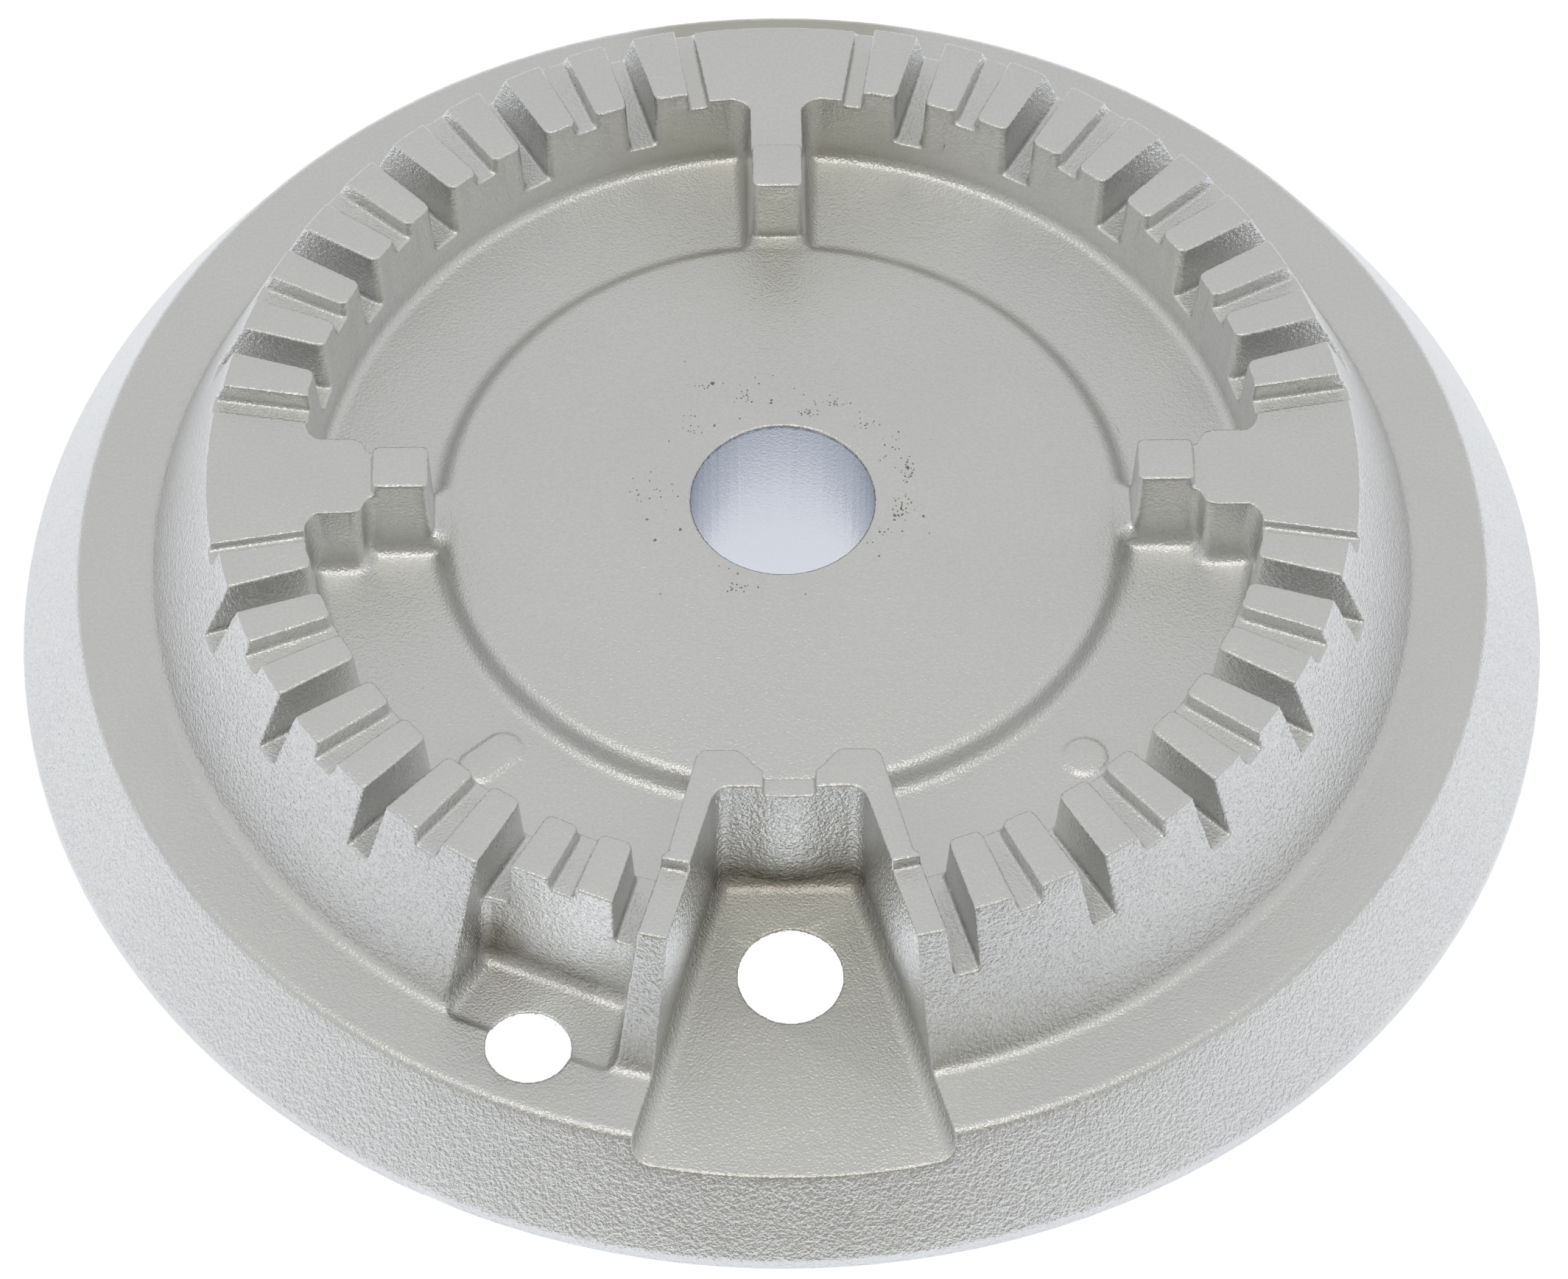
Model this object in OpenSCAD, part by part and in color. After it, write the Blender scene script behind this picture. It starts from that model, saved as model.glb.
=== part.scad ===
// Gas burner head: one aluminium casting.
// A round skirt carries a ledge and a raised crown with flame ports.
// Inside the crown a gas channel runs round a shallow cone with the
// mixing tube's bore in its middle.  Three bridges and the spark
// pocket at the front divide the channel into four.
//
// Millimetres, +Z up.  The origin is on the bore's axis at the lower
// end of the mixing tube, the lowest point of the casting.  The spark
// pocket faces -Y.  Angles run clockwise from +Y, seen from above.

/* [Skirt and ledge] */
// Outer diameter over the bottom lip of the skirt
rim_d = 100; // [92:0.5:110]
// Outer diameter of the ledge, at the top of the skirt
ledge_d = 92; // [88:0.5:96]
// Height of the ledge above the bottom of the skirt
ledge_h = 7.85; // [7:0.05:9]
// Thickness of the ledge plate
ledge_t = 1.65; // [1.4:0.05:2.2]
// Wall thickness of the skirt, measured square to its face
skirt_t = 2; // [1.5:0.1:2.6]
// Height of the upright lip at the bottom of the skirt
lip_h = 1.05; // [0.8:0.05:1.5]
// Radius of the edge between ledge and skirt
ledge_r = 0.8; // [0.4:0.1:1.2]

/* [Crown] */
// Height of the tooth tops above the bottom of the skirt
crown_h = 18.2; // [17.8:0.1:20]
// Outer diameter across the tooth tops
crown_d = 73.7; // [72:0.1:76]
// Inner diameter across the tooth tops
crown_in_d = 62.5; // [61:0.1:64]
// Outer diameter where the crown's wall meets the ledge
foot_d = 82.5; // [80:0.1:84]
// Draft of the crown's inner wall, in degrees
inner_draft = 5.5; // [2:0.5:8]
// Drop of the bridges below the tooth tops
bridge_drop = 0.9; // [0.5:0.05:1.3]

/* [Flame ports] */
// Number of deep slots in each quarter of the crown
slots_per_quarter = 5; // [4:1:5]
// Width of a slot at its floor
slot_w = 1.75; // [1.3:0.05:1.9]
// Draft of each slot wall, in degrees
slot_draft = 1.5; // [0.5:0.5:3]
// Height of the slot floors above the bottom of the skirt
slot_h = 14; // [13.6:0.1:14.5]
// Width of a shallow groove at its inner end
groove_w = 1.15; // [1:0.05:1.5]
// Width of a shallow groove at its outer end
groove_out_w = 2.05; // [1.5:0.05:2.3]
// Depth of the shallow grooves below the tooth tops
groove_t = 1.1; // [0.8:0.05:1.4]
// Width of the two end grooves beside each bridge
end_groove_w = 1.3; // [1:0.05:1.5]
// Depth of the end grooves, beside the bridges
end_groove_t = 1.45; // [1:0.05:1.8]
// Angle from a bridge's middle to its end groove, in degrees
end_groove_a = 9.4; // [9:0.1:10.5]
// Radius of the rounded inner corners of the teeth
tooth_r = 0.55; // [0.4:0.05:1]

/* [Channel and middle] */
// Height of the channel floor above the bottom of the skirt
channel_h = 11.8; // [11.4:0.1:12.4]
// Outer diameter of the middle cone
cone_d = 43.8; // [41:0.1:44]
// Height of the middle cone's outer edge
cone_edge_h = 13.2; // [12.8:0.05:13.6]
// Height of the middle cone at the bore
cone_top_h = 14.3; // [13.8:0.05:14.8]
// Radius at the top and the foot of the step round the cone
step_r = 1.1; // [0.4:0.1:1.2]
// Diameter of the mixing tube's bore
bore_d = 11.9; // [10:0.1:14]
// Outer diameter of the mixing tube at its lower end
tube_d = 16; // [15:0.1:18]
// Length of mixing tube that stands out below the skirt
tube_drop = 3.6; // [2:0.1:8]
// Thickness of the floors over the hollow underside
floor_t = 2.1; // [1.6:0.1:2.4]

/* [Bridges] */
// Width of the pad at the inner end of each bridge
pad_w = 3.3; // [2.6:0.1:4]
// Distance from the axis to the inner end of the pads
pad_in = 22.9; // [22.6:0.1:24]
// Distance from the axis to the outer end of the pads
pad_out = 26.5; // [25.5:0.1:27]
// Width of the side bridges outside their pads
side_bridge_w = 6; // [5:0.1:7]
// Draft of the bridge walls, in degrees
bridge_draft = 3; // [2:0.5:5]

/* [Spark pocket] */
// Distance from the axis to the pocket's inner wall, at the top
spark_in = 25.4; // [25:0.1:26.5]
// Width of the pocket on the ledge, at the foot of the crown's wall
spark_w = 18.8; // [17.5:0.1:19.2]
// Height of the pocket's floor where it runs out through the skirt
spark_h = 6.05; // [5.7:0.05:6.6]
// Rise of the pocket's floor towards the axis, in degrees
spark_rise = 5.3; // [4:0.1:6.5]
// Distance from the axis to the spark plug's hole
spark_hole_y = 32.7; // [32:0.1:35]
// Diameter of the spark plug's hole
spark_hole_d = 6.65; // [5:0.05:7.5]
// Width of the ignition notch in the pocket's inner wall
notch_w = 3.3; // [2.5:0.1:4]

/* [Sensor pocket] */
// Direction of the pocket's middle, in degrees
sensor_a = 203.6; // [203:0.1:204.5]
// Direction of the flame sensor's hole, in degrees
sensor_hole_a = 203.6; // [203:0.1:206]
// Distance from the axis to the sensor's hole
sensor_hole_y = 41.5; // [41:0.1:42]
// Diameter of the sensor's hole
sensor_hole_d = 5.4; // [4:0.05:5.6]
// Distance from the axis to the pocket's inner wall
sensor_in = 35.9; // [35.5:0.1:36.2]
// Depth of the pocket's floor below the ledge
sensor_t = 0.25; // [0.15:0.05:0.4]

/* [Hidden] */

// All heights below count from the lower end of the mixing tube.
z0 = tube_drop;
z_ledge = z0 + ledge_h;
z_crown = z0 + crown_h;
z_bridge = z_crown - bridge_drop;
z_slot = z0 + slot_h;
z_chan = z0 + channel_h;
z_edge = z0 + cone_edge_h;
z_top = z0 + cone_top_h;
z_far = z_crown + 6;

// Skirt: a cone from the ledge down to the upright lip.
rim_r = rim_d / 2;
z_lip = z0 + lip_h;
skirt_s = (rim_r - ledge_d / 2) / (ledge_h - lip_h);
skirt_gap = skirt_t * sqrt(1 + skirt_s * skirt_s);

// Crown: the outer wall leans from the ledge to the tooth tops.
wall_s = (foot_d - crown_d) / 2 / (crown_h - ledge_h);
wall_gap = 2.2 * sqrt(1 + wall_s * wall_s);
crown_in_foot = crown_in_d / 2 - (crown_h - channel_h) * tan(inner_draft);

// Ports: the slots share the angle between the end grooves evenly.
slot_pitch = (45 - end_groove_a) * 2 / slots_per_quarter;
slot_mid = (slots_per_quarter - 1) / 2;

// Spark pocket: side planes that spread outwards and upwards.
wall_a = slot_pitch;
side_y = 0.29;
side_z = 0.015;
spark_r = 1.2;
spark_t = 1.25;
lip_y = 47;

// Sensor pocket: side walls along the slots on either side of it.
sensor_half = 8.55;
sensor_r = 1;
sensor_front = 41.8;
sensor_t2 = 1.3;
sensor_lean = 0.35;

// Straight corner p-q-s with its corner q rounded to radius r.
function corner(p, q, s, r, n = 6) =
    r == 0 ? [q] :
    let (u = (p - q) / norm(p - q),
         v = (s - q) / norm(s - q),
         h = acos(u * v) / 2,
         m = (u + v) / norm(u + v),
         c = q + m * r / sin(h),
         e = q + u * r / tan(h) - c,
         f = q + v * r / tan(h) - c,
         a = atan2(e[1], e[0]),
         d = (atan2(f[1], f[0]) - a + 540) % 360 - 180)
    [for (i = [0:n]) c + r * [cos(a + d * i / n), sin(a + d * i / n)]];

// Outline through the points [x, y, radius], each corner rounded.
function rounded(pts, n = 6) =
    let (k = len(pts))
    [for (i = [0:k - 1])
        let (p = pts[(i + k - 1) % k], q = pts[i], s = pts[(i + 1) % k])
        each corner([p[0], p[1]], [q[0], q[1]], [s[0], s[1]], q[2], n)];

// Height of the spark pocket's floor at distance y from the axis.
function floor_z(y) = z0 + spark_h + (lip_y - y) * tan(spark_rise);

// Half width of the spark pocket at distance y and height z.
function side_x(y, z) =
    spark_w / 2 + side_y * (y - foot_d / 2) + side_z * (z - z_ledge);

// Turns what is drawn along +Y to the direction a.
module at(a) {
    rotate([0, 0, -a]) children();
}

// Extrudes a section drawn in X-Z along Y, from y1 to y2.
module along(y1, y2) {
    translate([0, y2, 0]) rotate([90, 0, 0])
    linear_extrude(height = y2 - y1) children();
}

// Revolved shell: skirt, ledge, crown ring, channel, cone and tube.
module shell() {
    tube_r = tube_d / 2;
    under = z_ledge - ledge_t;
    up = z_slot - floor_t;
    low = z_chan - floor_t;
    wall_in = foot_d / 2 - wall_gap;
    rotate_extrude($fn = 180)
    polygon(rounded([
        [rim_r - skirt_gap + skirt_s * lip_h, z0, 0.4],
        [rim_r, z0, 0.3],
        [rim_r, z_lip, 0.5],
        [ledge_d / 2, z_ledge, ledge_r],
        [foot_d / 2, z_ledge, 1],
        [crown_d / 2, z_crown, 0.12],
        [crown_in_d / 2, z_crown, 0.12],
        [crown_in_foot, z_chan, 0.8],
        [cone_d / 2 + 0.7, z_chan, step_r],
        [cone_d / 2, z_edge, step_r],
        [bore_d / 2, z_top, 0.2],
        [bore_d / 2, 0, 0.3],
        [tube_r, 0, 0.3],
        [tube_r + 0.4, z_top - 2.6, 1.5],
        [cone_d / 2 - 1.5, z_edge - floor_t, 1],
        [cone_d / 2 + 1, low, 0.8],
        [crown_in_foot + 0.4, low, 1],
        [crown_in_foot + 2.4, up, 1],
        [wall_in - wall_s * (up - z_ledge), up, 1],
        [wall_in - wall_s * (under - z_ledge), under, 1],
        [rim_r - skirt_gap - skirt_s * (under - z_lip), under, 1.2]
    ]));
}

// Everything inside the outer surfaces of skirt, ledge and crown.
module envelope() {
    rotate_extrude($fn = 180)
    polygon(rounded([
        [0, z0, 0],
        [rim_r, z0, 0.3],
        [rim_r, z_lip, 0.5],
        [ledge_d / 2, z_ledge, ledge_r],
        [foot_d / 2, z_ledge, 1],
        [crown_d / 2, z_crown, 0.12],
        [0, z_crown, 0]
    ]));
}

// Radius of the crown's inner wall at height z.
function inner_r(z) = crown_in_d / 2 - (z_crown - z) * tan(inner_draft);

// Plan of a port along +Y: w1 wide inside, w2 wide outside, and its
// inner mouth rounded out to the wall at radius y with radius r.
function port_plan(w1, w2, y, r) = rounded([
    [-w1 / 2 - 1.5, y - 2, 0],
    [w1 / 2 + 1.5, y - 2, 0],
    [w1 / 2 + 1.5, y - 0.02, 0],
    [w1 / 2, y - 0.02, r],
    [w2 / 2, foot_d / 2 + 1, 0],
    [-w2 / 2, foot_d / 2 + 1, 0],
    [-w1 / 2, y - 0.02, r],
    [-w1 / 2 - 1.5, y - 0.02, 0]
], 5);

// One port with its floor at height z; it follows the wall's draft.
module port(w1, w2, z, r, draft) {
    h = z_far - z;
    t = 2 * h * tan(draft);
    y = inner_r(z);
    translate([0, 0, z])
    linear_extrude(height = h, slices = 1,
                   scale = [(w1 + t) / w1, inner_r(z_far) / y])
    polygon(port_plan(w1, w2, y, r));
}

// Slots and grooves of the quarter whose middle is at 45 degrees.
module quarter_ports(skip_first = false, skip_last = false) {
    for (k = [-slot_mid:1:slot_mid]) at(45 + k * slot_pitch)
        port(slot_w, slot_w, z_slot, tooth_r, slot_draft);
    for (k = [0.5 - slot_mid:1:slot_mid - 0.5])
        at(45 + k * slot_pitch)
        port(groove_w, groove_out_w, z_crown - groove_t, tooth_r, 8);
    if (!skip_first) at(end_groove_a) end_groove();
    if (!skip_last) at(90 - end_groove_a) end_groove();
}

// Shallow groove beside a bridge, with plain walls.
module end_groove() {
    along(crown_in_d / 2 - 2.5, foot_d / 2 + 1)
    polygon([
        [-end_groove_w / 2, z_crown - end_groove_t],
        [end_groove_w / 2, z_crown - end_groove_t],
        [end_groove_w / 2 + 0.2, z_far],
        [-end_groove_w / 2 - 0.2, z_far]
    ]);
}

// All ports, and the lowered tops of the three bridges.
module crown_cuts() {
    quarter_ports();
    at(90) quarter_ports(skip_last = true);
    at(180) quarter_ports(skip_first = true);
    at(270) quarter_ports();
    for (a = [0, 90, 270]) at(a)
        translate([0, 0, z_bridge]) linear_extrude(height = 5)
        polygon([
            [-pad_out * tan(end_groove_a), pad_out],
            [pad_out * tan(end_groove_a), pad_out],
            [42 * tan(end_groove_a), 42],
            [-42 * tan(end_groove_a), 42]
        ]);
}

// Raised pad at the inner end of a bridge, with drafted walls.
module pad() {
    c = 0.45;
    h = z_crown - z_chan + 1;
    t = h * tan(bridge_draft);
    hull()
    for (x = [-1, 1]) for (y = [pad_in + c, pad_out - c])
        translate([x * (pad_w / 2 - c), y, z_crown - h])
        cylinder(h = h, r1 = c + t, r2 = c, $fn = 24);
}

// Land between pad and crown: w wide, narrowing to the pad.
module land(w) {
    h = z_bridge - z_chan + 1;
    p = pad_w / 2 + 0.05;
    r = crown_in_d / 2 + 1.5;
    t = h * tan(bridge_draft);
    k = w > pad_w + 1 ? 0.85 : 0;
    translate([0, 0, z_bridge - h])
    linear_extrude(height = h, slices = 1, scale = [w / (w + 2 * t), 1])
    scale([(w + 2 * t) / w, 1])
    polygon(rounded([
        [-p, pad_in + 1.5, 0],
        [p, pad_in + 1.5, 0],
        [p, pad_out + 0.35, k],
        [w / 2, pad_out + 0.75, k],
        [w / 2, r, 0],
        [-w / 2, r, 0],
        [-w / 2, pad_out + 0.75, k],
        [-p, pad_out + 0.35, k]
    ], 4));
}

// Rounded corner between a bridge of width w and the crown's wall.
module corner_fill(w) {
    r = 1;
    h = z_bridge - z_chan;
    x = w / 2 + (h + 1) * tan(bridge_draft) + r;
    y = sqrt(pow(crown_in_foot - r, 2) - x * x);
    t = tan(inner_draft);
    difference() {
        translate([x - r - 0.6, y, z_chan - 0.5])
            cube([r + 0.6, r + 0.9, h + 0.5]);
        translate([x, y, z_chan - 1])
            cylinder(h = h + 3, r1 = r - t, r2 = r + (h + 2) * t,
                     $fn = 48);
    }
}

// The three bridges between the middle and the crown.
module bridges() {
    for (a = [0, 90, 270]) at(a) {
        w = a == 0 ? pad_w + 0.1 : side_bridge_w;
        pad();
        land(w);
        for (s = [0, 1]) mirror([s, 0, 0]) corner_fill(w);
    }
}

// Solid block of the spark pocket, before the pocket is cut.
module spark_block() {
    y1 = cone_d / 2 + 0.7;
    y2 = rim_d / 2 + 2;
    t = tan(wall_a);
    b = y1 * t;
    intersection() {
        envelope();
        translate([0, 0, z0]) linear_extrude(height = crown_h + 1)
        polygon(rounded([
            [-b, y1, 0.8],
            [-b + 2.6, y1, 1],
            [-1.7, y1 + 1.75, 1.4],
            [1.7, y1 + 1.75, 1.4],
            [b - 2.6, y1, 1],
            [b, y1, 0.8],
            [y2 * t, y2, 0],
            [-y2 * t, y2, 0]
        ]));
        rotate([90, 0, 90]) linear_extrude(height = 60, center = true)
        polygon([
            [y1 - 1, floor_z(y1 - 1) - spark_t],
            [y2, floor_z(y2) - spark_t],
            [y2, z_crown + 1],
            [y1 - 1, z_crown + 1]
        ]);
    }
}

// Hollow of the spark pocket, open at the top and through the skirt.
module spark_cut() {
    k = spark_r * sqrt(1 + side_y * side_y + side_z * side_z);
    y1 = spark_in + 0.4;
    y2 = rim_d / 2 + 6;
    difference() {
        hull()
        for (s = [-1, 1]) {
            for (y = [y1, y2]) {
                z = floor_z(y) + spark_r;
                translate([s * (side_x(y, z) - k), y + spark_r, z])
                    sphere(r = spark_r, $fn = 32);
            }
            for (y = [spark_in - 0.03, y2])
                translate([s * (side_x(y, z_far) - k), y + spark_r, z_far])
                cylinder(h = 0.1, r = spark_r, $fn = 32);
        }
        translate([0, spark_in + 0.35 - 15, z_ledge - 1])
            cylinder(h = crown_h, r1 = 15.4, r2 = 14.7, $fn = 120);
    }
}

// Lowered wall tops at the crown, and the notch behind the hole.
module spark_tops() {
    difference() {
        translate([0, 0, z_bridge]) linear_extrude(height = 5)
        polygon([
            [-30 * tan(wall_a + 1), 30],
            [30 * tan(wall_a + 1), 30],
            [44 * tan(wall_a + 1), 44],
            [-44 * tan(wall_a + 1), 44]
        ]);
        cylinder(h = 60, r = 32, $fn = 120);
    }
    along(cone_d / 2 - 0.5, spark_in + 4)
        polygon(rounded([
            [-notch_w / 2, z_bridge, 0.25],
            [notch_w / 2, z_bridge, 0.25],
            [notch_w / 2 + 0.2, z_far, 0],
            [-notch_w / 2 - 0.2, z_far, 0]
        ], 4));
}

// Walls of the sensor pocket inside the hollow underside.
module sensor_block() {
    y1 = sensor_in - 1.7;
    y2 = sensor_front + 1.5;
    t = tan(sensor_half);
    intersection() {
        envelope();
        translate([0, 0, z_ledge - sensor_t - sensor_t2])
        linear_extrude(height = z_slot - z_ledge)
        polygon([
            [-y1 * t - 1.7, y1],
            [y1 * t + 1.7, y1],
            [y2 * t + 1.7, y2],
            [-y2 * t - 1.7, y2]
        ]);
    }
}

// Hollow of the sensor pocket, open at the top and to the outside.
module sensor_cut() {
    z1 = z_ledge - sensor_t + sensor_r;
    t = tan(sensor_half);
    k = sensor_r / cos(sensor_half);
    y1 = sensor_in + sensor_r;
    y2 = sensor_front - sensor_r;
    y3 = foot_d / 2 + 4;
    hull()
    for (s = [-1, 1]) {
        for (y = [y1, y2])
            translate([s * (y * t - k) + (s < 0 ? sensor_lean : 0), y, z1])
            sphere(r = sensor_r, $fn = 32);
        for (y = [y1, y3]) translate([s * (y * t - k + 0.2), y, z_far])
            cylinder(h = 0.1, r = sensor_r, $fn = 32);
    }
}

// The whole casting.
module burner_head() {
    color([0.72, 0.72, 0.70])
    difference() {
        union() {
            difference() {
                shell();
                crown_cuts();
            }
            bridges();
            at(180) spark_block();
            at(sensor_a) sensor_block();
        }
        at(180) {
            spark_cut();
            spark_tops();
            translate([0, spark_hole_y, 0])
                cylinder(h = z_crown, d = spark_hole_d, $fn = 96);
        }
        at(sensor_a) sensor_cut();
        at(sensor_hole_a) translate([0, sensor_hole_y, 0])
            cylinder(h = z_crown, d = sensor_hole_d, $fn = 96);
    }
}

burner_head();
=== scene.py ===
# %% [markdown]
# # Gas burner head, dressed for a studio picture
#
# The object is one die casting in aluminium.  Its shape comes packed
# from the CAD source.  This lesson gives it what a finished casting
# has: softened edges, a shot-blasted skin, a turned bore and a few
# dark pores.  All lengths are in metres, in the same frame as the
# CAD: +Z is up, the origin is at the lower end of the mixing tube,
# and the spark pocket faces -Y.

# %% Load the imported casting
import math

import bmesh
import bpy
import numpy as np
from mathutils import Matrix, Vector


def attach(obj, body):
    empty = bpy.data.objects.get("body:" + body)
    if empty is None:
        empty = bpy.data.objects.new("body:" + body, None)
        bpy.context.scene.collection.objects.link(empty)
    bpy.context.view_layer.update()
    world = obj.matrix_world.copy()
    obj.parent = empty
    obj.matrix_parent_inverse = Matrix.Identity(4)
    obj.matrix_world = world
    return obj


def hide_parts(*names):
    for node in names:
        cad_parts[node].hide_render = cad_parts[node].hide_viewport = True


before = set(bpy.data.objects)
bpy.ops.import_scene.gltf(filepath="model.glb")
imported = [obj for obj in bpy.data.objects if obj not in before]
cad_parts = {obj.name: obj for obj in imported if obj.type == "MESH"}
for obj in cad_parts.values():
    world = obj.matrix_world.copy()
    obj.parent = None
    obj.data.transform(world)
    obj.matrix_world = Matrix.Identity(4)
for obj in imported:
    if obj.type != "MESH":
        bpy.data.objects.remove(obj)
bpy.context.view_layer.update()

MM = 0.001
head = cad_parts["burner_head"]

# %% [markdown]
# ## The camera
#
# A long lens looks down on the casting from well above its front
# edge, so the far slots are nearly as large as the near ones.  The
# camera is given by its place, the point that it looks at, and a
# small roll about its own axis.  Three axes make the turn: forward,
# right and up.

# %% Camera
EYE = Vector((-7.5397, -363.0183, 500.5427)) * MM
AIM = Vector((0.1136, -1.1509, 4.0)) * MM
ROLL = math.radians(0.3745)

forward = (AIM - EYE).normalized()
level = forward.cross(Vector((0, 0, 1))).normalized()
upright = level.cross(forward)
right = level * math.cos(ROLL) + upright * math.sin(ROLL)
up = upright * math.cos(ROLL) - level * math.sin(ROLL)

camera_data = bpy.data.cameras.new("camera")
camera_data.sensor_fit = "HORIZONTAL"
camera_data.sensor_width = 36
camera_data.lens = 213.833
camera_data.clip_start = 0.05
camera_data.clip_end = 10
camera = bpy.data.objects.new("camera", camera_data)
turn = Matrix((right, up, -forward)).transposed()
camera.matrix_world = Matrix.Translation(EYE) @ turn.to_4x4()
bpy.context.scene.collection.objects.link(camera)
bpy.context.scene.camera = camera
print("camera", round((EYE - AIM).length / MM, 1), "mm from its aim")

# %% [markdown]
# ## A short way to write node trees
#
# A material is a small graph of nodes.  The helper below adds a node,
# sets its values and joins its inputs in one line, so that each
# finish further down reads as a short recipe.


# %% Node helper
class Graph:
    """A node tree with a short way to add nodes and join them."""

    def __init__(self, tree):
        self.tree = tree
        tree.nodes.clear()

    def put(self, socket, value):
        """Joins a socket to an input, or writes a plain value in it."""
        if isinstance(value, bpy.types.NodeSocket):
            self.tree.links.new(value, socket)
        else:
            socket.default_value = value

    def add(self, kind, inputs=None, **values):
        """Adds a node with its settings and its inputs."""
        node = self.tree.nodes.new(kind)
        for name, value in values.items():
            setattr(node, name, value)
        for name, value in (inputs or {}).items():
            self.put(node.inputs[name], value)
        return node

    def math(self, operation, *values):
        """One step of arithmetic on numbers or sockets."""
        return self.add("ShaderNodeMath", dict(enumerate(values)),
                        operation=operation).outputs[0]

    def ramp(self, value, low, high, start=0.0, end=1.0):
        """Goes smoothly from start to end as value goes low to high."""
        return self.add("ShaderNodeMapRange",
                        {"Value": value, "From Min": low,
                         "From Max": high, "To Min": start,
                         "To Max": end},
                        interpolation_type="SMOOTHSTEP").outputs[0]

    def blend(self, factor, first, second):
        """Colour from first at factor 0 to second at factor 1."""
        node = self.add("ShaderNodeMix", data_type="RGBA")
        for index, value in ((0, factor), (6, first), (7, second)):
            self.put(node.inputs[index], value)
        return node.outputs[2]

    def noise(self, spot, cell, detail=2.0, roughness=0.5):
        """Soft noise whose bumps are about cell metres apart."""
        return self.add("ShaderNodeTexNoise",
                        {"Vector": spot, "Scale": 1 / cell,
                         "Detail": detail, "Roughness": roughness}
                        ).outputs["Fac"]


def new_material(name):
    """An empty material and its graph."""
    material = bpy.data.materials.new(name)
    material.use_nodes = True
    return material, Graph(material.node_tree)


def grey(value, tint=(1.0, 1.0, 1.0)):
    """A colour of one grey level, with a slight tint."""
    return (value * tint[0], value * tint[1], value * tint[2], 1.0)


# %% [markdown]
# ## The room
#
# Metal shows what stands round it.  The casting lies on white paper
# under soft light.  Its leaning walls mirror the paper and look
# bright and slightly blue; its flat tops mirror the upper back of the
# room, a middle grey; walls that face the viewer mirror the dark
# front of the room.  So the room is a colour for each direction: one
# grey at the back, a darker and warmer one at the front, and paper
# below the horizon.  The camera itself sees plain white.

# %% World
ROOM_BACK = grey(0.64, (1.0, 1.0, 0.985))
ROOM_FRONT = grey(0.24, (1.05, 1.01, 0.78))
PAPER_BLUE = grey(1.03, (0.98, 1.0, 1.04))
WHITE = grey(1.0)

world = bpy.data.worlds.new("room")
world.use_nodes = True
bpy.context.scene.world = world
g = Graph(world.node_tree)
direction = g.add("ShaderNodeTexCoord").outputs["Generated"]
axis = g.add("ShaderNodeSeparateXYZ", {"Vector": direction}).outputs
front = g.math("MULTIPLY", g.ramp(axis["Y"], -0.35, -1.0),
               g.ramp(g.math("ABSOLUTE", axis["X"]), 0.8, 0.4))
room = g.blend(front, ROOM_BACK, ROOM_FRONT)
room = g.blend(g.ramp(axis["Z"], 0.03, -0.03), room, PAPER_BLUE)
path = g.add("ShaderNodeLightPath").outputs
seen = g.add("ShaderNodeBackground", {"Color": room, "Strength": 1.0})
plain = g.add("ShaderNodeBackground", {"Color": WHITE, "Strength": 1.0})
both = g.add("ShaderNodeMixShader", {0: path["Is Camera Ray"],
                                     1: seen.outputs[0],
                                     2: plain.outputs[0]})
g.add("ShaderNodeOutputWorld", {"Surface": both.outputs[0]})
print("room: back", ROOM_BACK[0], "front", ROOM_FRONT[0])

# %% [markdown]
# ## The key lamp
#
# One soft lamp hangs high over the casting, a little to the front.
# Flat tops don't mirror it to the camera, but every rounded edge
# does, and so edges and fillets sparkle.


# %% Lamp
def soft_lamp(name, place, aim, width, depth, watts, colour):
    """A flat lamp at place, turned to the point aim."""
    data = bpy.data.lights.new(name, "AREA")
    data.shape = "RECTANGLE"
    data.size, data.size_y = width, depth
    data.energy = watts
    data.color = colour
    lamp = bpy.data.objects.new(name, data)
    lamp.location = Vector(place)
    lamp.rotation_euler = (Vector(aim) - lamp.location).to_track_quat(
        "-Z", "Y").to_euler()
    lamp.visible_camera = False
    bpy.context.scene.collection.objects.link(lamp)
    print("lamp", name, watts, "W")
    return lamp


soft_lamp("key", (-0.03, -0.24, 0.78), (0, 0, 0), 0.6, 0.22, 0.7,
          (1.0, 0.97, 0.88))
for name, x, y, side in (("spark_hole", 0, -0.032, 0.028),
                         ("sensor_hole", -0.016, -0.0366, 0.016)):
    soft_lamp(name, (x, y, 0.0015), (x, y, 1), side, side,
              0.8 * math.pi * side * side, (0.95, 1.0, 1.07))

# %% [markdown]
# ## The paper
#
# A large white sheet.  It is a plain matt surface, so the casting
# leaves a soft shadow on it, and the camera sees it close to pure
# white.  What mirrors see of it is a painted reflection: it glows
# bluish white near the casting and fades to dark grey farther in
# front.

# %% Floor
PAPER_HALF = 1.5
PAPER_LEVEL = -0.05 * MM  # just clear of the tube's foot
PAPER_SHARE = 0.94  # of plain white in what the camera and mirrors see
PAINTED_REFLECTION_FADE = (-0.08, -0.18)  # metres in front of the axis
PAINTED_REFLECTION_FAR = grey(0.27, (1.0, 1.0, 1.0))
corners = [(x * PAPER_HALF, y * PAPER_HALF, PAPER_LEVEL)
           for x, y in ((-1, -1), (1, -1), (1, 1), (-1, 1))]
paper_mesh = bpy.data.meshes.new("paper")
paper_mesh.from_pydata(corners, [], [(0, 1, 2, 3)])
paper = bpy.data.objects.new("paper", paper_mesh)
bpy.context.scene.collection.objects.link(paper)
paper_finish, g = new_material("white_paper")
matt = g.add("ShaderNodeBsdfDiffuse", {"Color": grey(0.9)})
path = g.add("ShaderNodeLightPath").outputs
place = g.add("ShaderNodeTexCoord").outputs["Object"]
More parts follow.
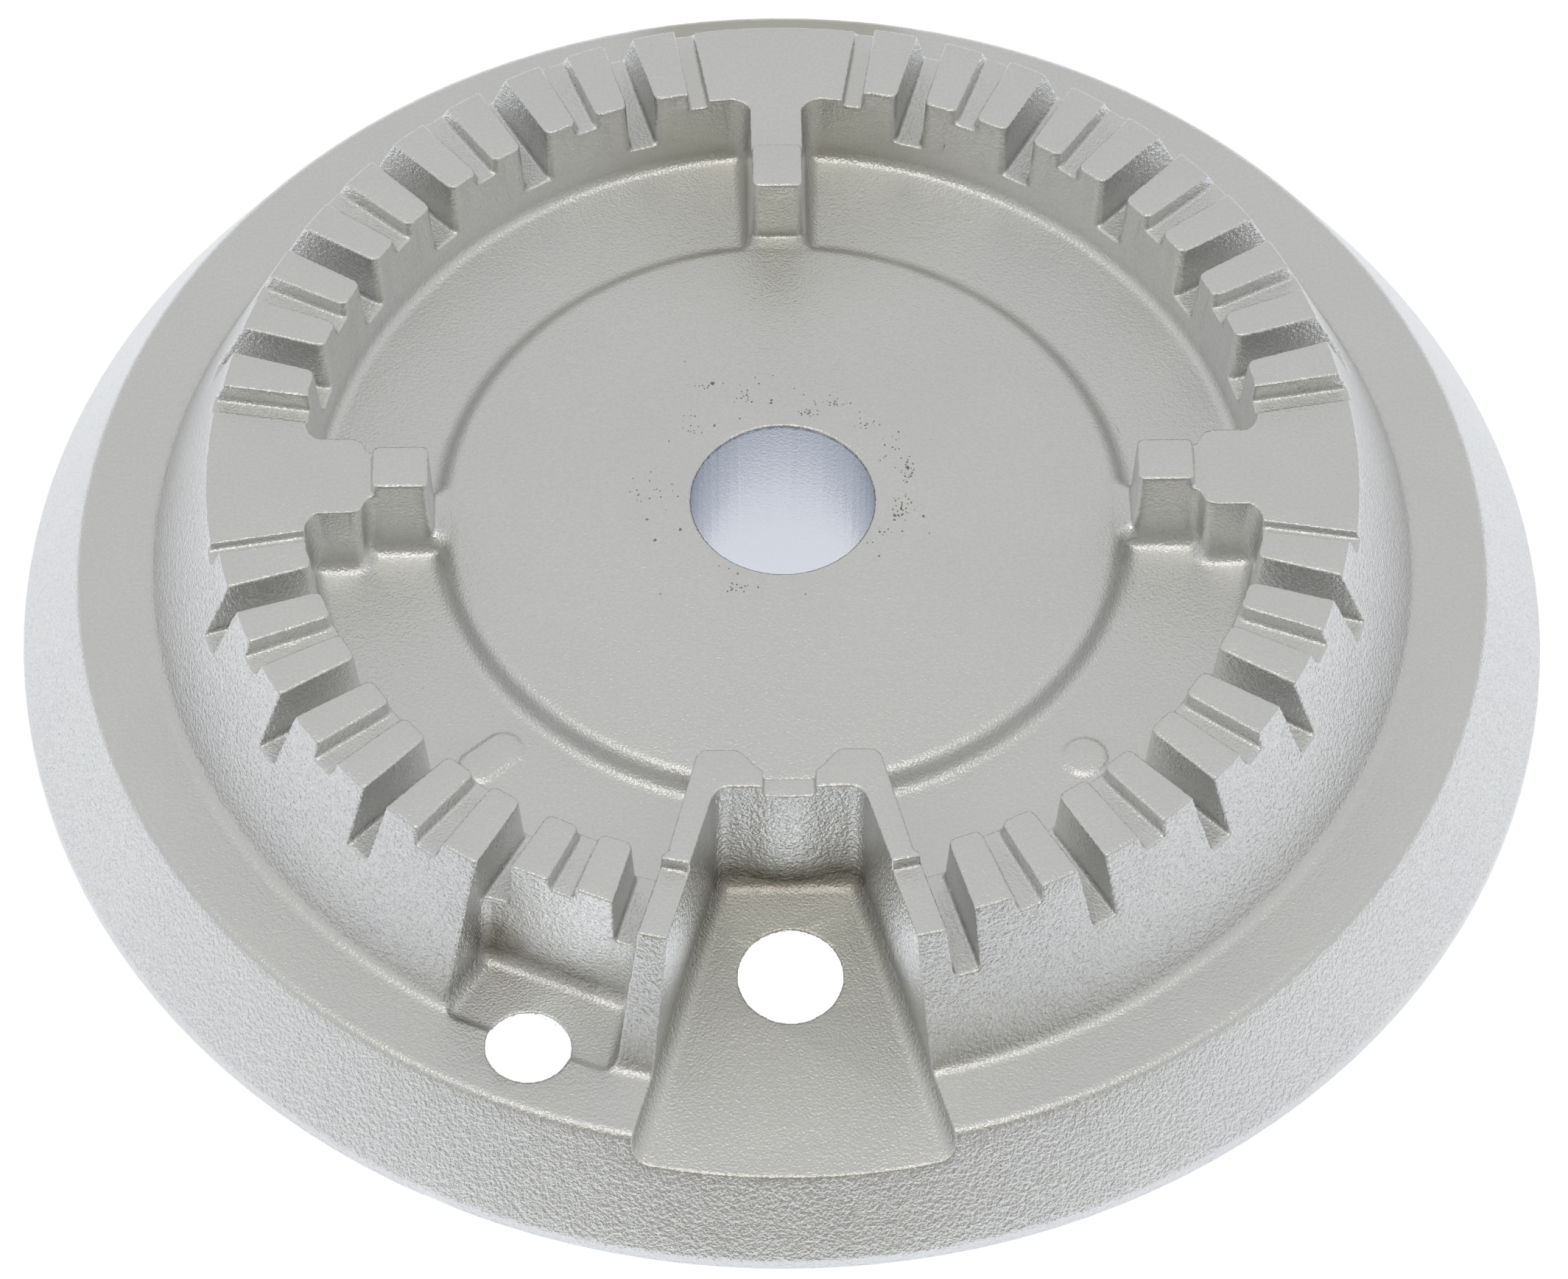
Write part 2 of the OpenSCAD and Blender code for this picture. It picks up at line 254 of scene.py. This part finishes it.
depth = g.add("ShaderNodeSeparateXYZ", {"Vector": place}).outputs["Y"]
# painted reflection: mirrors see the paper glow bluish white near the casting,
# fading to dark grey farther in front
painted_reflection_tint = g.blend(g.ramp(depth, PAINTED_REFLECTION_FADE[0], PAINTED_REFLECTION_FADE[1]),
                      PAPER_BLUE, PAINTED_REFLECTION_FAR)
tint = g.blend(path["Is Glossy Ray"], WHITE, painted_reflection_tint)
glow = g.add("ShaderNodeEmission", {"Color": tint, "Strength": 1.03})
mirrored = g.math("MAXIMUM", path["Is Camera Ray"], path["Is Glossy Ray"])
share = g.math("MULTIPLY", mirrored, PAPER_SHARE)
both = g.add("ShaderNodeMixShader", {0: share, 1: matt.outputs[0],
                                     2: glow.outputs[0]})
g.add("ShaderNodeOutputMaterial", {"Surface": both.outputs[0]})
paper_mesh.materials.append(paper_finish)
print("paper", 2 * PAPER_HALF, "m wide")

# %% [markdown]
# ## The skin of the casting
#
# An aluminium casting leaves its mould dull and grey and is then
# shot-blasted: small steel balls leave an even grain of dimples about
# a sixth of a millimetre wide.  Walls that slid along the die on the
# way out are coarser.  The finish is a metal whose normal is stirred
# by both, as heights in metres.  Two faint layers of cloud keep it
# from looking like paint.  The bore's wall is smoother, because the
# blast hardly reaches it.  Shade is painted into the colour in three
# places: round the foot of the bridge at the back, on the floor of the
# spark pocket, and along the feet and in a corner of the pockets' walls.

# %% Cast aluminium
GRAIN_CELL = 0.17 * MM
GRAIN_DEPTH = 0.055 * MM
DRAG_CELL = 0.28 * MM
DRAG_DEPTH = 0.13 * MM
DRAG_FROM = 30 * MM  # from the axis; only the outer walls are coarse
DRAG_FULL = 35 * MM
BORE_RADIUS = 5.95 * MM
BORE_TOP = 17.8 * MM
PAINTED_SHADE_BRIDGE = (0.0, 27 * MM, 17 * MM)
PAINTED_SHADE_CORNER = (-18.3 * MM, -31.1 * MM, 13.3 * MM)

cast, g = new_material("cast_aluminium")
spot = g.add("ShaderNodeTexCoord").outputs["Object"]
axis = g.add("ShaderNodeSeparateXYZ", {"Vector": spot}).outputs
flat = g.add("ShaderNodeVectorMath", {0: spot, 1: (1, 1, 0)},
             operation="MULTIPLY").outputs[0]
reach = g.add("ShaderNodeVectorMath", {0: flat},
              operation="LENGTH").outputs["Value"]
bore = g.math("MULTIPLY",
              g.ramp(reach, BORE_RADIUS + 0.3 * MM, BORE_RADIUS + 0.1 * MM),
              g.ramp(axis["Z"], BORE_TOP + 0.1 * MM, BORE_TOP - 0.2 * MM))

facing = g.add("ShaderNodeNewGeometry").outputs["Normal"]
lean = g.add("ShaderNodeSeparateXYZ", {"Vector": facing}).outputs["Z"]
cloud = g.ramp(g.noise(spot, 7 * MM, 1.5), 0.3, 0.7)
speckle = g.ramp(g.noise(spot, 0.22 * MM, 2.0), 0.3, 0.7)
colour = g.blend(cloud, grey(0.775), grey(0.795, (0.995, 1.0, 0.985)))
colour = g.blend(g.math("MULTIPLY", speckle, 0.5), colour, grey(0.70))
colour = g.blend(bore, colour, grey(0.7, (0.97, 1.0, 1.06)))

# painted shade: a faint tan darkening round the foot of the bridge at the back
bridge_painted_shade = g.add("ShaderNodeVectorMath", {0: spot, 1: PAINTED_SHADE_BRIDGE},
              operation="DISTANCE").outputs["Value"]
bridge_painted_shade = g.math("MULTIPLY", g.ramp(bridge_painted_shade, 14 * MM, 6 * MM),
               g.ramp(axis["Z"], 20.8 * MM, 20.2 * MM))
colour = g.blend(bridge_painted_shade, colour, grey(0.72, (1.0, 0.998, 0.965)))

# painted shade: the floor of the spark pocket is darkened, most near its inner
# wall
inside = g.math("MULTIPLY",
                g.ramp(g.math("ABSOLUTE", axis["X"]), 11 * MM, 6 * MM),
                g.ramp(axis["Z"], 12.6 * MM, 11.6 * MM))
pocket_painted_shade = g.math("MULTIPLY", inside,
              g.ramp(axis["Y"], -46 * MM, -28 * MM, 0.2, 1.0))
pocket_painted_shade = g.math("MULTIPLY", pocket_painted_shade, g.ramp(lean, 0.3, 0.7))
colour = g.blend(pocket_painted_shade, colour, grey(0.57, (1.01, 1.0, 0.92)))


# painted shade along the foot of both pockets' inner walls, and in a corner of
# the sensor pocket
def foot_line(depth, line, middle, half):
    """1 on a wall's foot where depth is line and x is near middle."""
    across = g.ramp(g.math("ABSOLUTE", g.math("SUBTRACT", depth, line)),
                    1.0 * MM, 0.2 * MM)
    along = g.ramp(g.math("ABSOLUTE",
                          g.math("SUBTRACT", axis["X"], middle)),
                   half + 1 * MM, half)
    low = g.ramp(axis["Z"], 14.2 * MM, 12.4 * MM)
    return g.math("MULTIPLY", across, g.math("MULTIPLY", along, low))


corner = g.add("ShaderNodeVectorMath", {0: spot, 1: PAINTED_SHADE_CORNER},
               operation="DISTANCE").outputs["Value"]
pore_tone_and_painted_shade = g.math("MAXIMUM",
              foot_line(axis["Y"], -26.1 * MM, 0, 6 * MM),
              g.math("MULTIPLY", foot_line(reach, 36.1 * MM, -16.3 * MM,
                                           3.5 * MM), 0.45))
pore_tone_and_painted_shade = g.math("MAXIMUM", pore_tone_and_painted_shade, g.ramp(corner, 2.8 * MM, 0.8 * MM))
pore_tone_and_painted_shade = g.math("MULTIPLY", pore_tone_and_painted_shade, g.ramp(g.noise(spot, 1.2 * MM), 0.25, 0.75,
                                       0.6, 1.0))
colour = g.blend(pore_tone_and_painted_shade, colour, grey(0.4, (1.05, 0.99, 0.89)))

grain = g.math("MULTIPLY", g.noise(spot, GRAIN_CELL, 2.0), GRAIN_DEPTH)
drag = g.math("MULTIPLY", g.noise(spot, DRAG_CELL, 2.5, 0.55),
              g.ramp(lean, 0.8, 0.45, 0.0, DRAG_DEPTH))
pocket = g.math("MULTIPLY",
                g.ramp(axis["Y"], -24.5 * MM, -25.5 * MM),
                g.ramp(g.math("ABSOLUTE", axis["X"]), 9 * MM, 8 * MM))
coarse = g.math("MAXIMUM", pocket,
                g.ramp(reach, DRAG_FROM, DRAG_FULL, 0.3, 1.0))
drag = g.math("MULTIPLY", drag, coarse)
relief = g.math("MULTIPLY", g.math("ADD", grain, drag),
                g.ramp(bore, 0.0, 1.0, 1.0, 0.5))
bump = g.add("ShaderNodeBump", {"Strength": 1.0, "Distance": 1.0,
                                "Height": relief})
rough = g.ramp(bore, 0.0, 1.0, 0.32, 0.3)
skin = g.add("ShaderNodeBsdfPrincipled",
             {"Base Color": colour, "Metallic": 1.0, "Roughness": rough,
              "Normal": bump.outputs[0]})
g.add("ShaderNodeOutputMaterial", {"Surface": skin.outputs[0]})
print("grain", round(GRAIN_CELL / MM, 2), "mm wide and",
      round(GRAIN_DEPTH / MM, 3), "mm deep")

# %% [markdown]
# ## Small fillets
#
# Where a wall stands on a floor, the mould has a small round, which
# the blasting blurs further.  Round the feet of the three bridges the
# CAD leaves the corner sharp.  A fillet is a profile carried along
# the foot of the wall: a hollow quarter circle outside, and a block
# inside the wall and the floor, so that both parts melt together
# later.


# %% Profile carried along a path
def sweep(points, normals, profile, name):
    """Closed solid: the profile (out, height), carried along points.

    Point i, j of the surface is points[i] + out[j] * normals[i] at
    height[j]; both ends are capped.
    """
    rows, count = len(points), len(profile)
    at = np.zeros((rows, count, 3))
    at[:, :, :2] = (points[:, None, :]
                    + profile[None, :, :1] * normals[:, None, :])
    at[:, :, 2] = profile[None, :, 1]
    index = np.arange(rows * count).reshape(rows, count)
    a, b = index[:-1], index[1:]
    quads = np.stack([a, np.roll(a, -1, 1), np.roll(b, -1, 1), b], -1)
    faces = quads.reshape(-1, 4).tolist()
    faces += [index[0, ::-1].tolist(), index[-1].tolist()]
    mesh = bpy.data.meshes.new(name)
    mesh.from_pydata(at.reshape(-1, 3).tolist(), [], faces)
    return mesh


def hollow_profile(radius, base, inside=0.5 * MM):
    """Quarter hollow of a fillet, closed by a block behind it."""
    turn = np.radians(np.linspace(0, 90, 7))
    arc = np.stack([radius - radius * np.sin(turn),
                    base + radius - radius * np.cos(turn)], -1)
    block = np.array([[-inside, base + radius], [-inside, base - inside],
                      [radius, base - inside]])
    return np.concatenate([arc, block])


def rounded_path(corners, radii, steps=6):
    """Points and side normals of a path with its corners rounded.

    Each corner is replaced by an arc of its radius that touches both
    legs; the normal at a point is the path's direction, turned right.
    """
    line = [np.array(corners[0], float)]
    for before, corner, after, radius in zip(corners, corners[1:],
                                             corners[2:], radii):
        corner = np.array(corner, float)
        u = np.array(before) - corner
        v = np.array(after) - corner
        u, v = u / np.linalg.norm(u), v / np.linalg.norm(v)
        half = math.acos(np.clip(u @ v, -1, 1)) / 2
        middle = (u + v) / np.linalg.norm(u + v)
        centre = corner + middle * radius / math.sin(half)
        first = corner + u * radius / math.tan(half) - centre
        last = corner + v * radius / math.tan(half) - centre
        t = np.linspace(0, 1, steps)[:, None]
        bow = first * (1 - t) + last * t
        bow *= radius / np.linalg.norm(bow, axis=1)[:, None]
        line += list(centre + bow)
    line.append(np.array(corners[-1], float))
    line = np.array(line)
    way = np.gradient(line, axis=0)
    way /= np.linalg.norm(way, axis=1)[:, None]
    return line, np.stack([way[:, 1], -way[:, 0]], -1)


def turned(points, degrees):
    """Turns plan points clockwise from +Y by that many degrees."""
    a = math.radians(degrees)
    return points @ np.array([[math.cos(a), -math.sin(a)],
                              [math.sin(a), math.cos(a)]])


# %% [markdown]
# ## Feet of the bridges
#
# The path runs along the foot of one bridge: down its left side, past
# the raised pad at its inner end, and back up its right side.  Beside
# the pad the middle cone's edge also turns into the bridge with a
# small round; a plate level with the cone's edge gives it.

# %% The cone's edge beside a pad
CHANNEL_FLOOR = 15.4 * MM
CONE_EDGE = 16.8 * MM
CONE_RADIUS = 22.1 * MM
PAD_HALF = 1.97 * MM
PAD_INNER = 22.6 * MM
PAD_OUTER = 26.75 * MM
FOOT_RADIUS = 1.0 * MM
CONE_ROUND = 1.1 * MM
EDGE_ROUND = 1.1 * MM  # of the cone's edge, seen from the side
EDGE_START = 0.9 * MM  # from there to the cone's radius
EDGE_END = 27  # degrees, where the round becomes the steep step


def cone_round(angle, mirror):
    """Plate that turns the cone's edge into a pad with a round corner.

    Seen from above its edge is an arc that touches both the pad and
    the cone's circle.  Seen from the side the edge is a quarter
    circle, so higher rings of points have a wider arc, by EDGE_ROUND
    times the cosine of the slope's angle.
    """
    middle = PAD_HALF + CONE_ROUND
    centre = np.array([middle, math.sqrt((CONE_RADIUS + CONE_ROUND) ** 2
                                         - middle ** 2)])
    end = math.atan2(-centre[1], -centre[0]) + 2 * math.pi
    turn = np.linspace(math.pi, end, 8)
    way = np.stack([np.cos(turn), np.sin(turn)], -1)
    slope = np.radians(np.linspace(EDGE_END, 90, 7))
    reach = CONE_ROUND + EDGE_START - EDGE_ROUND * np.cos(slope)
    height = CONE_EDGE - EDGE_ROUND * (1 - np.sin(slope)) - 0.02 * MM
    reach = np.append(reach[0], reach)
    height = np.append(CHANNEL_FLOOR - MM, height)
    rings = []
    for radius, z in zip(reach, height):
        arc = centre + radius * way
        back = CONE_RADIUS - 3 * MM
        plan = np.concatenate([arc, [[arc[-1][0], back], [0, back],
                                     [0, arc[0][1]]]])
        plan[:, 0] *= mirror
        rings.append(np.column_stack([turned(plan, angle),
                                      np.full(len(plan), z)]))
    count = len(rings[0])
    ring = np.arange(count)
    wall = np.stack([ring, np.roll(ring, -1), np.roll(ring, -1) + count,
                     ring + count], -1)
    walls = np.concatenate([wall + k * count
                            for k in range(len(rings) - 1)]).tolist()
    top = (ring + count * (len(rings) - 1)).tolist()
    mesh = bpy.data.meshes.new("cone_round")
    mesh.from_pydata(np.concatenate(rings).tolist(), [],
                     walls + [ring[::-1].tolist(), top])
    return mesh


# %% Fillets round the bridges
extras = []
for angle, land_half in ((0, 2.0 * MM), (90, 3.3 * MM), (270, 3.3 * MM)):
    side = [(land_half, 30.2 * MM), (land_half, 27.4 * MM),
            (PAD_HALF, PAD_OUTER), (PAD_HALF, PAD_INNER)]
    radii = [0.8 * MM, 0.8 * MM]
    for mirror in (1, -1):
        corners = [(mirror * x, y) for x, y in side]
        line, out = rounded_path(corners, radii)
        shape = hollow_profile(FOOT_RADIUS, CHANNEL_FLOOR)
        extras.append(sweep(turned(line, angle), turned(out * -mirror, angle),
                            shape, "foot_side"))
        extras.append(cone_round(angle, mirror))
    # the foot of the pad's inner face, on the cone
    front, out = rounded_path([(-PAD_HALF, PAD_INNER + 0.1 * MM),
                               (0, PAD_INNER + 0.1 * MM),
                               (PAD_HALF, PAD_INNER + 0.1 * MM)], [0.1 * MM])
    shape = hollow_profile(FOOT_RADIUS, CONE_EDGE)
    extras.append(sweep(turned(front, angle), turned(out, angle),
                        shape, "foot_front"))
print(len(extras), "small fillets")

# %% [markdown]
# ## Casting marks
#
# A die has small inserts that leave low raised marks on the casting.
# Two stand on the channel floor near the front, an oblong one and a
# round one.  Here they are plain: flat on top, with a round rim.


# %% Low raised marks
def low_mark(middle, reach, length, rise, angle, name):
    """Raised stadium with a round rim: rings of 40 points.

    A ring is a half circle of that radius at either end of a length;
    each ring in turn lies further in and higher, up to the rise.
    """
    steps = np.array([1.0, 1.0, 0.94, 0.84, 0.6])
    height = CHANNEL_FLOOR + np.array([-0.6 * MM, 0.0, 0.7 * rise,
                                       rise, rise])
    turn = np.linspace(-math.pi / 2, math.pi * 1.5, 40, endpoint=False)
    side = np.where(np.arange(40) < 20, 0.5, -0.5) * length
    along = side + reach * steps[:, None] * np.cos(turn)
    across = reach * steps[:, None] * np.sin(turn)
    a = math.radians(angle)
    at = np.zeros((5, 40, 3))
    at[:, :, 0] = middle[0] + along * math.cos(a) - across * math.sin(a)
    at[:, :, 1] = middle[1] + along * math.sin(a) + across * math.cos(a)
    at[:, :, 2] = height[:, None]
    index = np.arange(200).reshape(5, 40)
    a, b = index[:-1], index[1:]
    quads = np.stack([a, np.roll(a, -1, 1), np.roll(b, -1, 1), b], -1)
    faces = quads.reshape(-1, 4).tolist()
    faces += [index[0, ::-1].tolist(), index[-1].tolist()]
    mesh = bpy.data.meshes.new(name)
    mesh.from_pydata(at.reshape(-1, 3).tolist(), [], faces)
    return mesh


extras.append(low_mark((-18.95 * MM, -18.6 * MM), 1.3 * MM, 2.1 * MM,
                       0.2 * MM, 40, "oblong_mark"))
extras.append(low_mark((19.0 * MM, -19.0 * MM), 1.5 * MM, 0.01 * MM,
                       0.2 * MM, 0, "round_mark"))
print(len(extras), "additions to the casting")

# %% [markdown]
# ## One casting with soft edges
#
# Blasting rounds every edge by about a quarter of a millimetre.  A
# Bevel would do it edge by edge, but it tears where a rounded corner
# of many small faces meets a slot.  So the CAD mesh is copied and
# merged, the fillets join it, and the Remesh modifier covers all of
# it with one even net of small squares.  A few turns of smoothing
# round the edges, and Decimate takes the net down where it is flat.

# %% Merge, cover, smooth and thin out
NET = 0.12 * MM
SMOOTH_TURNS = 3
FACE_TARGET = 190000

body = bmesh.new()
body.from_mesh(head.data)
bmesh.ops.remove_doubles(body, verts=body.verts, dist=0.001 * MM)
for extra in extras:
    piece = bmesh.new()
    piece.from_mesh(extra)
    bmesh.ops.recalc_face_normals(piece, faces=piece.faces)
    piece.to_mesh(extra)
    piece.free()
    body.from_mesh(extra)
rough_mesh = bpy.data.meshes.new("rough_casting")
body.to_mesh(rough_mesh)
body.free()

casting = bpy.data.objects.new("burner_casting", rough_mesh)
bpy.context.scene.collection.objects.link(casting)


def settle(piece):
    """Applies the modifiers of a piece to its mesh."""
    view = bpy.context.evaluated_depsgraph_get()
    done = bpy.data.meshes.new_from_object(piece.evaluated_get(view))
    piece.modifiers.clear()
    piece.data = done
    return len(done.polygons)


net = casting.modifiers.new("net", "REMESH")
net.mode = "VOXEL"
net.voxel_size = NET
smooth = casting.modifiers.new("smooth", "SMOOTH")
smooth.factor = 0.5
smooth.iterations = SMOOTH_TURNS
squares = settle(casting)
thin = casting.modifiers.new("thin", "DECIMATE")
thin.ratio = min(1.0, FACE_TARGET / (2 * squares))
thin.use_collapse_triangulate = True
triangles = settle(casting)
casting.data.shade_smooth()
casting.data.materials.clear()
casting.data.materials.append(cast)
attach(casting, "root")
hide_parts("burner_head")
print("net of", squares, "squares, kept", triangles, "triangles")

# %% [markdown]
# ## Dark specks round the bore
#
# Blasting leaves a few dark specks in the skin, most of them in loose
# groups round the bore.  Each is a tiny flat lens sunk in the cone: a
# ring of seven uneven points, one point just above it and one below.
# The single specks are listed one by one; the groups are strewn at
# random round their middles.

# %% Specks
SPECKS = [  # x, y and width in millimetres
    (-6.25, 11.75, 0.11), (-4.45, 9.75, 0.3), (-3.75, 9.75, 0.1),
    (-5.6, 9.6, 0.09), (-1.65, 10.2, 0.13), (-1.4, 9.65, 0.15),
    (-0.5, 10.35, 0.1), (0.9, 9.2, 0.1), (1.5, 8.65, 0.12),
    (3.2, 8.6, 0.1), (-0.65, 7.95, 0.24), (-2.65, 9.6, 0.1),
    (-4.35, 6.1, 0.22), (-2.7, 6.65, 0.16), (-0.6, 8.2, 0.2),
    (-7.35, 4.95, 0.11), (-9.7, 2.0, 0.1), (-9.9, 0.9, 0.1),
    (-9.2, 0.1, 0.09), (-7.9, 0.35, 0.11), (-6.8, 0.35, 0.12),
    (-8.8, -1.4, 0.21), (-8.3, -3.1, 0.26), (-6.65, -2.35, 0.24),
    (-7.6, -0.7, 0.1), (1.35, -7.6, 0.11), (-3.0, -5.95, 0.17),
    (-4.2, -5.3, 0.11), (-3.55, -5.55, 0.12), (-8.0, -7.3, 0.1),
    (6.15, -4.6, 0.18), (5.4, -3.6, 0.12), (5.75, -3.55, 0.12),
    (8.15, 2.6, 0.28), (8.45, 2.15, 0.17), (8.35, 1.85, 0.2),
    (7.25, -1.35, 0.27), (7.2, -1.7, 0.2), (9.1, -1.35, 0.2),
    (7.7, -2.6, 0.14), (9.45, -2.7, 0.1), (-25.4, 2.7, 0.2),
]
GROUPS = [  # x, y, reach along x and y, how many
    (-2.2, 8.6, 0.8, 0.7, 14), (2.0, 7.0, 1.0, 0.35, 16),
    (3.6, 7.95, 1.2, 0.3, 20), (5.6, 6.4, 1.1, 1.0, 12),
    (7.2, 4.4, 0.9, 1.1, 12), (8.2, 2.4, 0.6, 1.0, 26),
    (7.75, -0.75, 0.7, 0.9, 30), (6.3, -2.6, 1.1, 0.5, 8),
    (-3.1, -7.0, 1.0, 0.4, 16), (-8.6, 1.6, 1.4, 1.4, 12),
    (-5.6, 6.2, 1.4, 1.1, 12), (-4.8, 9.6, 1.0, 0.25, 8),
]
SPECK_SIDES = 7
SPECK_PROUD = 0.012 * MM

chance = np.random.default_rng(7)
spots = list(SPECKS)
for x, y, wide, deep, count in GROUPS:
    for _ in range(count):
        dx, dy = chance.normal(0, 0.55, 2)
        spots.append((x + dx * wide, y + dy * deep,
                      chance.uniform(0.07, 0.15)))
spots = np.array([p for p in spots if math.hypot(p[0], p[1]) > 6.35])
spots *= MM


def cone_height(reach):
    """Height of the skin at that distance from the axis."""
    cone = 17.9 * MM - 0.069 * (reach - BORE_RADIUS)
    return np.where(reach > 22.6 * MM, CHANNEL_FLOOR, cone)


count = len(spots)
turn = np.linspace(0, 2 * math.pi, SPECK_SIDES, endpoint=False)
turn = turn + chance.uniform(0, 6, (count, 1))
radius = spots[:, 2:] / 2 * chance.uniform(0.6, 1.25, (count, SPECK_SIDES))
points = np.zeros((count, SPECK_SIDES + 2, 3))
points[:, :, :2] = spots[:, None, :2]
points[:, :SPECK_SIDES, 0] += radius * np.cos(turn)
points[:, :SPECK_SIDES, 1] += radius * np.sin(turn)
reach = np.hypot(points[:, :, 0], points[:, :, 1])
points[:, :, 2] = cone_height(reach) + SPECK_PROUD * 0.5
points[:, -2, 2] += SPECK_PROUD * 0.5
points[:, -1, 2] -= 0.08 * MM
faces = []
for i in range(count):
    first = i * (SPECK_SIDES + 2)
    top, bottom = first + SPECK_SIDES, first + SPECK_SIDES + 1
    for k in range(SPECK_SIDES):
        a, b = first + k, first + (k + 1) % SPECK_SIDES
        faces += [(a, b, top), (b, a, bottom)]
speck_mesh = bpy.data.meshes.new("dark_specks")
speck_mesh.from_pydata(points.reshape(-1, 3).tolist(), [], faces)
specks = bpy.data.objects.new("dark_specks", speck_mesh)
bpy.context.scene.collection.objects.link(specks)
dark, g = new_material("dark_speck")
spot = g.add("ShaderNodeTexCoord").outputs["Object"]
mottle = g.ramp(g.noise(spot, 0.3 * MM), 0.3, 0.7)
# the pores' own dark colour
pore_tone_and_painted_shade = g.blend(mottle, grey(0.14), grey(0.3, (1.0, 0.98, 0.95)))
skin = g.add("ShaderNodeBsdfPrincipled",
             {"Base Color": pore_tone_and_painted_shade, "Roughness": 0.7})
g.add("ShaderNodeOutputMaterial", {"Surface": skin.outputs[0]})
speck_mesh.materials.append(dark)
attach(specks, "root")
print(count, "specks")

# %% Colour view transform
bpy.context.scene.view_settings.view_transform = "Standard"
